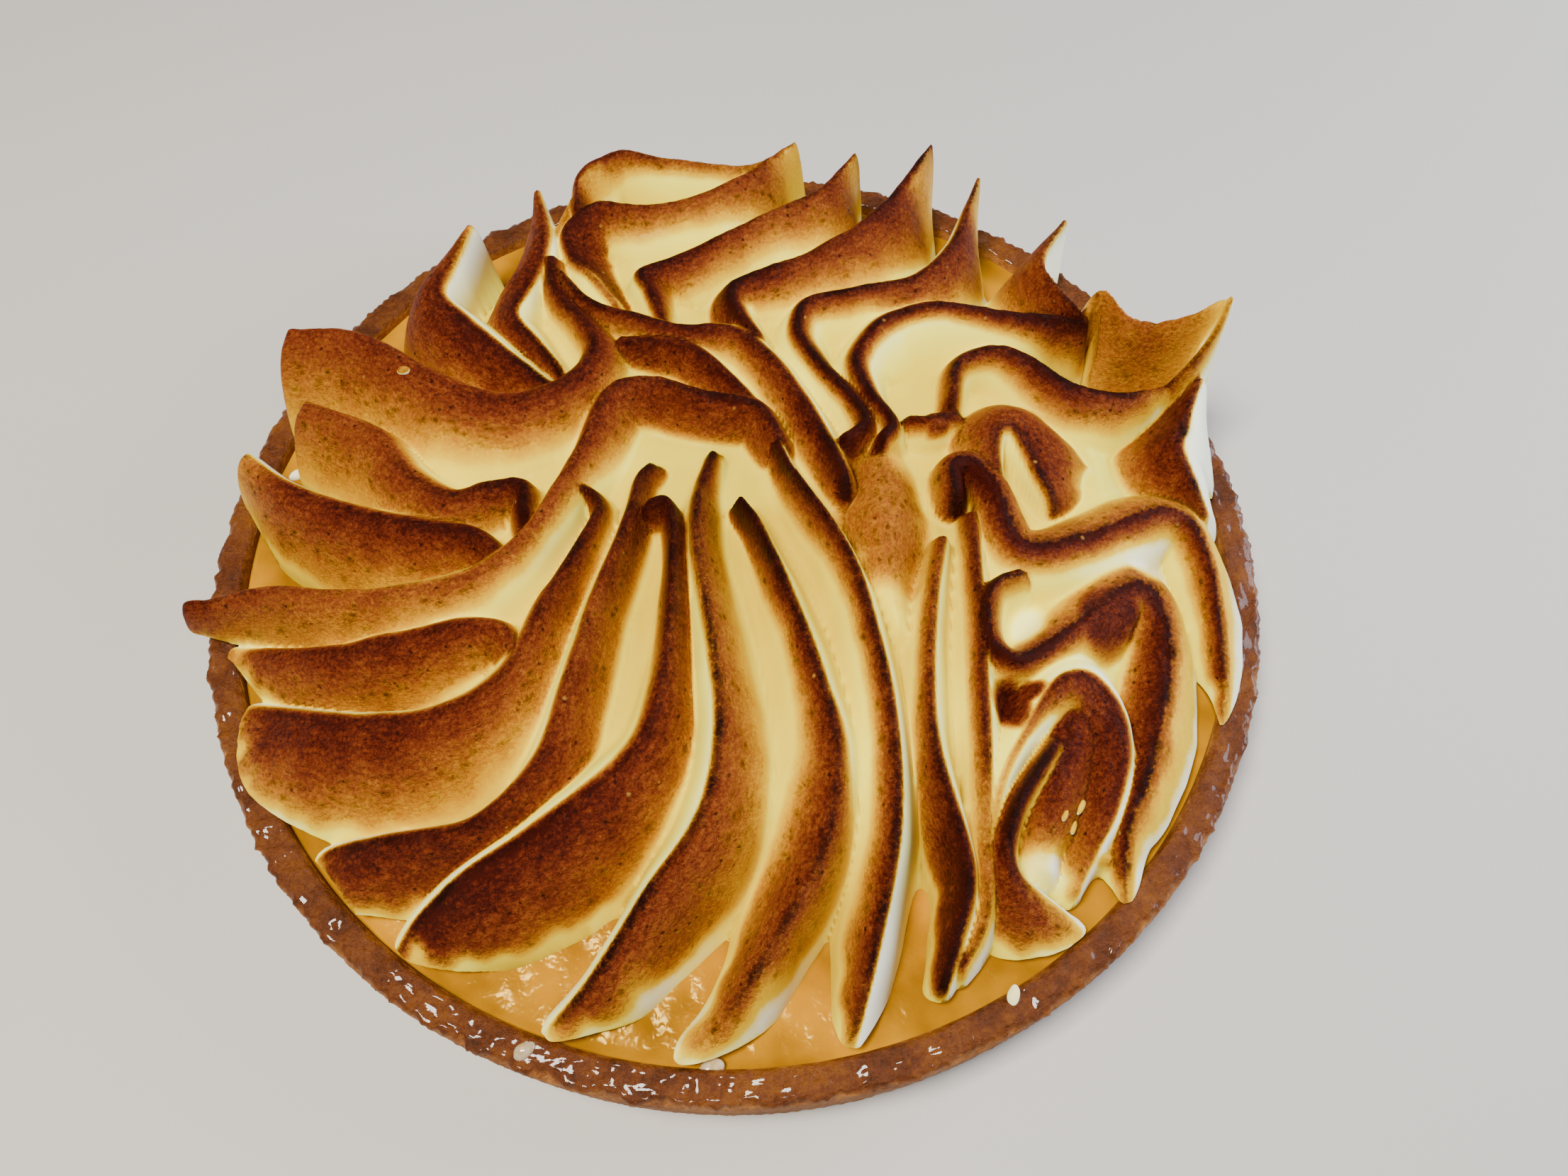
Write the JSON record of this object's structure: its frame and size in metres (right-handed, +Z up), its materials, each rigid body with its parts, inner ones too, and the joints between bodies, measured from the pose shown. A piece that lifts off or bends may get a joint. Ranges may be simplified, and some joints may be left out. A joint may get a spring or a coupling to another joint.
{
  "type": "lemon meringue pie",
  "caption": "Round lemon meringue pie with a straight-sided tart crust, level lemon curd and a swirled, torched meringue top with pointed finger-like folds.",
  "frame": {"origin": "centre of the flat underside of the crust", "axes": "+Z up through the middle of the pie, +Y to the rear (the side away from the long front fingers of meringue), +X to the right"},
  "size_m": [0.2018, 0.2, 0.0469],
  "materials": {
    "baked_crust": "baked shortcrust pastry, golden brown with a light glaze on the rim",
    "lemon_curd": "glossy set lemon curd",
    "toasted_meringue": "soft whipped meringue, cream in the valleys and torched brown on the folds"
  },
  "bodies": {
    "root": {"crust": "baked_crust", "lemon_curd": "lemon_curd", "meringue": "toasted_meringue"}
  },
  "joints": []
}
